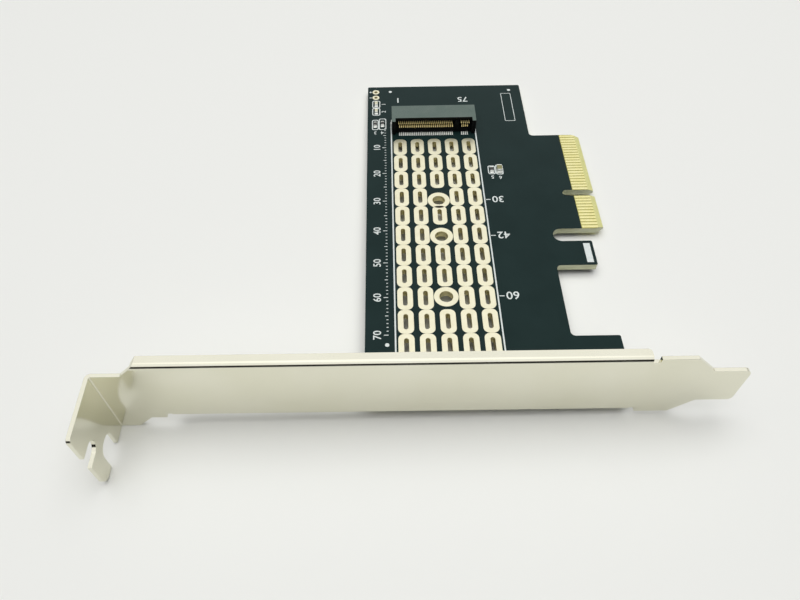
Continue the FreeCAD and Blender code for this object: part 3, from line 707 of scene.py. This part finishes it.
# The drive's outline and lengths. A tick is its middle's X, half length and half width.
OUTLINE_GAP = 0.18
OUTLINE_HALF_WIDTH = 0.16
FAR_PRINT = DRIVE_END + 0.6
NEAR_PRINT = NEAR_EDGE + 0.3
FIGURE_HEIGHT = 2.1
LENGTH_FIGURES_X = DRIVE_X + 14.5
LENGTH_FIGURES_RISE = 0.2
LENGTH_TICK = (DRIVE_X + SOCKET_HALF_WIDTH + 1.05, 0.55, 0.12)

# The scale: lines run left from its X, and the figures have an X and a height
SCALE_X = -50.9
SCALE_END = 70
SCALE_HALF_LINE = 0.09
TEN_LINE = 1.0
FIVE_LINE = 0.7
UNIT_LINE = 0.4
SCALE_FIGURES = (-53.2, 1.7)

# Plain marks: dots by x and y, a frame and a bar by place and half sizes, the socket's first and last contact
DOTS = ((-49.54, 42.29), (-16.06, 42.24), (-51.22, -44.4))
DOT_RADIUS = 0.45
EMPTY_FRAME = (-17.2, 34.6, 1.4, 6.2)
FRAME_LINE = 0.16
FRAME_CORNER = 0.3
HOOK_BAR = (-5.1, (HOOK_FAR + HOOK_NEAR) / 2, 0.75, 2.9)
END_CONTACTS = (("1", -9.2), ("75", 8.8))
END_CONTACTS_Y = 38.4

# Signs beside the header's two holes
SIGN_FROM_EYELET = 1.45
SIGN_HALF_LINE = 0.12
MINUS_REACH = 0.32
PLUS_REACH = 0.36

# Figures: the share of a letter's size that a figure is high, and how much bolder than plain it is drawn
FIGURE_SHARE = 0.7
FIGURE_WEIGHT = 0.012
FIGURE_MERGE = 0.004

# Half width and half length of the frame round each small part, and its figure: text, x, y, quarter turns
CHIP_FRAMES = {
    "indicator_led_far": (1.1, 1.65),
    "indicator_led_near": (1.1, 1.65),
    "led_resistor_outer": (0.9, 2.15),
    "led_resistor_inner": (1.0, 2.4),
    "bias_resistor": (0.95, 1.6),
    "filter_capacitor": (0.95, 1.85),
}
CHIP_FRAME_LINE = 0.24
CHIP_FRAME_CORNER = 0.55
CHIP_FIGURES = (
    ("1", -51.4, 36.6, 1),
    ("2", -51.4, 33.3, 1),
    ("3", -53.75, 24.3, 2),
    ("4", -51.9, 24.3, 2),
    ("5", -24.25, 6.2, 2),
    ("6", -22.3, 6.0, 2),
)
CHIP_FIGURE_HEIGHT = 1.15


def ink_area(bm, outline, openings=()):
    """A thin layer of ink on the component face."""
    plate(bm, outline, openings, 0, INK)


def ink_frame(bm, x, y, half_width, half_length, line=FRAME_LINE, corner=FRAME_CORNER):
    """A rounded rectangle drawn with a line."""
    outer = rounded(rectangle(x, y, half_width, half_length, corner), 4)
    inner = rounded(rectangle(x, y, half_width - line, half_length - line, corner - line * 0.6), 4)
    ink_area(bm, outer, [inner])


def ink_number(bm, text, x, y, height, quarter_turns):
    """Plain figures centred on a place, turned by quarter turns."""
    curve = bpy.data.curves.new("figures", "FONT")
    curve.body = text
    curve.size = height / FIGURE_SHARE
    curve.align_x = "CENTER"
    curve.align_y = "CENTER"
    curve.offset = FIGURE_WEIGHT * height
    curve.resolution_u = 3
    holder = bpy.data.objects.new("figures", curve)
    flat = bmesh.new()
    flat.from_mesh(holder.to_mesh())
    holder.to_mesh_clear()
    bmesh.ops.remove_doubles(flat, verts=flat.verts, dist=FIGURE_MERGE)
    extrude_up(flat, flat.faces[:], INK)
    turn = Matrix.Rotation(math.radians(90) * quarter_turns, 4, "Z")
    bmesh.ops.transform(flat, matrix=Matrix.Translation((x, y, 0)) @ turn, verts=flat.verts)
    figures = bpy.data.meshes.new("figures")
    flat.to_mesh(figures)
    flat.free()
    bm.from_mesh(figures)
    bpy.data.meshes.remove(figures)
    bpy.data.objects.remove(holder)
    bpy.data.curves.remove(curve)


def print_scale(bm):
    """A millimetre scale from the drive's inner end, with longer lines at the fives and tens."""
    for place in range(1, SCALE_END + 1):
        y = DRIVE_END - place
        ten = place % 10 == 0
        reach = TEN_LINE if ten else FIVE_LINE if place % 5 == 0 else UNIT_LINE
        ink_area(bm, rectangle(SCALE_X - reach / 2, y, reach / 2, SCALE_HALF_LINE))
        if ten:
            x, height = SCALE_FIGURES
            ink_number(bm, str(place), x, y, height, 1)


def print_small_parts(bm):
    """Frames and figures of the chip parts, and the signs of the header's two holes."""
    for name, x, y, *sizes in CHIPS:
        ink_frame(bm, x, y, *CHIP_FRAMES[name], CHIP_FRAME_LINE, CHIP_FRAME_CORNER)
    for figure, x, y, quarter_turns in CHIP_FIGURES:
        ink_number(bm, figure, x, y, CHIP_FIGURE_HEIGHT, quarter_turns)
    minus, plus = HEADER_EYELETS
    ink_area(bm, rectangle(minus[0] - SIGN_FROM_EYELET, minus[1], MINUS_REACH, SIGN_HALF_LINE))
    ink_area(bm, cross_outline(plus[0] - SIGN_FROM_EYELET, plus[1], PLUS_REACH, SIGN_HALF_LINE))


def make_print():
    """White ink: the drive's sides and lengths, a scale, the small parts, and a few plain marks."""
    bm = bmesh.new()
    middle = (FAR_PRINT + NEAR_PRINT) / 2
    half_length = (FAR_PRINT - NEAR_PRINT) / 2
    for side in (-1, 1):
        x = DRIVE_X + side * (SOCKET_HALF_WIDTH + OUTLINE_GAP)
        ink_area(bm, rectangle(x, middle, OUTLINE_HALF_WIDTH, half_length))
    tick_x, tick_reach, tick_half = LENGTH_TICK
    for length in DRIVE_LENGTHS:
        y = DRIVE_END - length
        ink_number(bm, str(length), LENGTH_FIGURES_X, y + LENGTH_FIGURES_RISE, FIGURE_HEIGHT, 2)
        ink_area(bm, rectangle(tick_x, y, tick_reach, tick_half))
    print_scale(bm)
    print_small_parts(bm)
    for x, y in DOTS:
        ink_area(bm, circle(x, y, DOT_RADIUS, DOT_STEPS))
    ink_frame(bm, *EMPTY_FRAME)
    for figure, place in END_CONTACTS:
        ink_number(bm, figure, DRIVE_X + place, END_CONTACTS_Y, FIGURE_HEIGHT, 2)
    ink_area(bm, rectangle(*HOOK_BAR))
    finish_piece("white_print", bm, (white_ink,))


# ---- bracket ----

def make_bracket():
    """The folded sheet with its cut edges eased."""
    bm = cad_copy("bracket")
    soften(bm, SHEET_SOFTNESS, 2)
    finish_piece("bracket_sheet", bm, (satin_nickel,), ["bracket"], smooth=25)


make_board()
make_heat_pads()
for length in DRIVE_LENGTHS:
    make_plated_hole(
        "drive_hole_%d" % length, DRIVE_X, DRIVE_END - length, DRIVE_HOLE, DRIVE_PAD,
        ["drive_hole_pads_%d" % length],
    )
for number, (x, y) in enumerate(HEADER_EYELETS):
    nodes = ["header_hole_plating"] if number == 0 else []
    make_plated_hole("header_eyelet_%d" % number, x, y, HEADER_HOLE, HEADER_PAD, nodes)
make_edge_contacts("fingers_component_side", 0, "edge_contacts_component_side")
make_edge_contacts("fingers_solder_side", -BOARD_THICKNESS - COPPER, "edge_contacts_solder_side")
make_socket()
make_socket_combs()
make_contact_solder()
make_print()
for chip in CHIPS:
    make_chip(*chip)
for name, (x, y) in SCREWS.items():
    make_screw(name, x, y)
make_bracket()


# ---- room, light and camera ----

# The card rests on three points: the tip of the right bracket screw, a far corner of the board and the
# bracket's neck. The floor is the plane through them.
REST_POINTS = ((-6.846, -51.566, -3.97), (-13.134, 44.537, -1.57), (-101.05, -58.2, -5.91))
FLOOR_HALF_SIZE = 3

# The floor, in metres from the card's origin: it fades into the backdrop well outside the card, and metal
# that mirrors the floor in front of the bracket sees its far part painted dark, a painted reflection for
# mirror rays alone.
PALE = (0.855, 0.86, 0.83)
UNLIT = (0.02, 0.02, 0.02)
FLOOR_ROUGHNESS = 0.9
FLOOR_SPECULAR = 0.1
FADE_OUT = (0.22, 0.7)
DARK_FRONT = (-0.16, -0.12)
DARK_SHARE = 0.9

# The room, by the direction of a ray. Diffuse light comes from overhead alone. Metal mirrors a room that
# grows paler from the horizon up, with a dark bench low down on the bracket's side.
BACKDROP = (0.85, 0.855, 0.825, 1)
OVERHEAD = (0.55, 0.95)
OVERHEAD_LEVELS = (0, 1.6)
BENCH_FRONT = (-0.45, -0.15)
BENCH_TOP = (0.34, 0.56)
BENCH_LEVEL = 0.03
HORIZON = (0.0, 0.6)
HORIZON_LEVELS = (0.45, 1.06)
ZENITH = (0.88, 0.97)
ZENITH_LEVELS = (1.0, 1.25)

# The softbox above the card
SOFTBOX_PLACE = (-0.05, 0.02, 0.60)
SOFTBOX_AIM = (-0.045, -0.01, 0)
SOFTBOX_SIZE = (0.6, 0.5)
SOFTBOX_POWER = 1.35

# The camera: where it stands in millimetres, and its three directions
CAMERA_PLACE = (-50.58, -122.61, 114.90)
CAMERA_RIGHT = (0.999863, -0.007381, -0.014814)
CAMERA_DOWN = (-0.014756, -0.802881, -0.595957)
CAMERA_AHEAD = (-0.007496, 0.596094, -0.802880)
CAMERA_LENS = 30.25
CAMERA_SHIFT = (0.0189, 0.0219)
SENSOR_WIDTH = 36
CLIP_START = 0.005


def direction(nodes, links, output):
    """The X, Y and Z of a texture coordinate."""
    place = nodes.new("ShaderNodeTexCoord")
    split = nodes.new("ShaderNodeSeparateXYZ")
    links.new(place.outputs[output], split.inputs["Vector"])
    return place.outputs[output], split.outputs


def floor_material():
    """Pale paper that becomes the backdrop far out, and is painted dark in front for mirror rays alone, a
    painted reflection.
    """
    material, nodes, links = new_material("pale_floor")
    shader = nodes["Principled BSDF"]
    place, split = direction(nodes, links, "Object")
    path = nodes.new("ShaderNodeLightPath")
    # Painted reflection: far in front, the floor's colour turns dark for mirror rays alone
    far_front = map_range(nodes, links, split["Y"], DARK_FRONT, (DARK_SHARE, 0))
    mirrored = combine(nodes, links, "MULTIPLY", path.outputs["Is Glossy Ray"], far_front)
    links.new(two_tone(nodes, links, mirrored, PALE, UNLIT), shader.inputs["Base Color"])
    shader.inputs["Roughness"].default_value = FLOOR_ROUGHNESS
    shader.inputs["Specular IOR Level"].default_value = FLOOR_SPECULAR
    distance = nodes.new("ShaderNodeVectorMath")
    distance.operation = "LENGTH"
    links.new(place, distance.inputs[0])
    far_off = map_range(nodes, links, distance.outputs["Value"], FADE_OUT, (0, 1))
    backdrop = nodes.new("ShaderNodeEmission")
    backdrop.inputs["Color"].default_value = BACKDROP
    fade = nodes.new("ShaderNodeMixShader")
    seen = combine(nodes, links, "MULTIPLY", path.outputs["Is Camera Ray"], far_off)
    links.new(seen, fade.inputs["Fac"])
    links.new(shader.outputs["BSDF"], fade.inputs[1])
    links.new(backdrop.outputs["Emission"], fade.inputs[2])
    links.new(fade.outputs["Shader"], nodes["Material Output"].inputs["Surface"])
    return material


def make_floor():
    """A large square in the plane of the three rest points."""
    first, second, third = (Vector(point) * MM for point in REST_POINTS)
    up = (second - first).cross(third - first).normalized()
    up = up if up.z > 0 else -up
    bm = bmesh.new()
    bmesh.ops.create_grid(bm, x_segments=1, y_segments=1, size=FLOOR_HALF_SIZE)
    turn = Vector((0, 0, 1)).rotation_difference(up).to_matrix().to_4x4()
    bmesh.ops.transform(bm, matrix=Matrix.Translation(first) @ turn, verts=bm.verts)
    mesh = bpy.data.meshes.new("floor")
    bm.to_mesh(mesh)
    bm.free()
    mesh.materials.append(floor_material())
    floor = bpy.data.objects.new("floor", mesh)
    bpy.context.scene.collection.objects.link(floor)


def make_world():
    """Light from overhead for the card, a shaded room for what its metal mirrors, a plain backdrop behind."""
    world = bpy.data.worlds.new("studio")
    bpy.context.scene.world = world
    world.use_nodes = True
    nodes = world.node_tree.nodes
    links = world.node_tree.links
    path = nodes.new("ShaderNodeLightPath")
    split = direction(nodes, links, "Generated")[1]
    behind_bench = map_range(nodes, links, split["Y"], BENCH_FRONT, (0, 1))
    above_bench = map_range(nodes, links, split["Z"], BENCH_TOP, (0, 1))
    clear = combine(nodes, links, "MAXIMUM", behind_bench, above_bench)
    bench = map_range(nodes, links, clear, (0, 1), (BENCH_LEVEL, 1))
    horizon = map_range(nodes, links, split["Z"], HORIZON, HORIZON_LEVELS)
    zenith = map_range(nodes, links, split["Z"], ZENITH, ZENITH_LEVELS)
    walls = combine(nodes, links, "MULTIPLY", bench, horizon)
    room = combine(nodes, links, "MULTIPLY", walls, zenith)
    overhead = map_range(nodes, links, split["Z"], OVERHEAD, OVERHEAD_LEVELS)
    level = nodes.new("ShaderNodeMix")
    links.new(path.outputs["Is Glossy Ray"], level.inputs["Factor"])
    links.new(overhead, level.inputs["A"])
    links.new(room, level.inputs["B"])
    shown = nodes.new("ShaderNodeMix")
    shown.data_type = "RGBA"
    shown.inputs["B"].default_value = BACKDROP
    links.new(path.outputs["Is Camera Ray"], shown.inputs["Factor"])
    links.new(level.outputs["Result"], shown.inputs["A"])
    links.new(shown.outputs["Result"], nodes["Background"].inputs["Color"])


def make_softbox():
    """A large soft lamp above the card that its metal doesn't mirror."""
    place = Vector(SOFTBOX_PLACE)
    lamp = bpy.data.lights.new("overhead_softbox", "AREA")
    lamp.shape = "RECTANGLE"
    lamp.size, lamp.size_y = SOFTBOX_SIZE
    lamp.energy = SOFTBOX_POWER
    softbox = bpy.data.objects.new("overhead_softbox", lamp)
    softbox.location = place
    softbox.visible_glossy = False
    softbox.rotation_mode = "QUATERNION"
    softbox.rotation_quaternion = (Vector(SOFTBOX_AIM) - place).to_track_quat("-Z", "Y")
    bpy.context.scene.collection.objects.link(softbox)


def make_camera():
    """A 30 mm lens above the bracket's outer side, looking down across the card."""
    data = bpy.data.cameras.new("camera")
    data.sensor_width = SENSOR_WIDTH
    data.lens = CAMERA_LENS
    data.shift_x, data.shift_y = CAMERA_SHIFT
    data.clip_start = CLIP_START
    camera = bpy.data.objects.new("camera", data)
    axes = Matrix((Vector(CAMERA_RIGHT), -Vector(CAMERA_DOWN), -Vector(CAMERA_AHEAD)))
    camera.matrix_world = Matrix.Translation(Vector(CAMERA_PLACE) * MM) @ axes.transposed().to_4x4()
    bpy.context.scene.collection.objects.link(camera)
    bpy.context.scene.camera = camera


make_floor()
make_world()
make_softbox()
make_camera()
bpy.context.scene.view_settings.view_transform = "Standard"
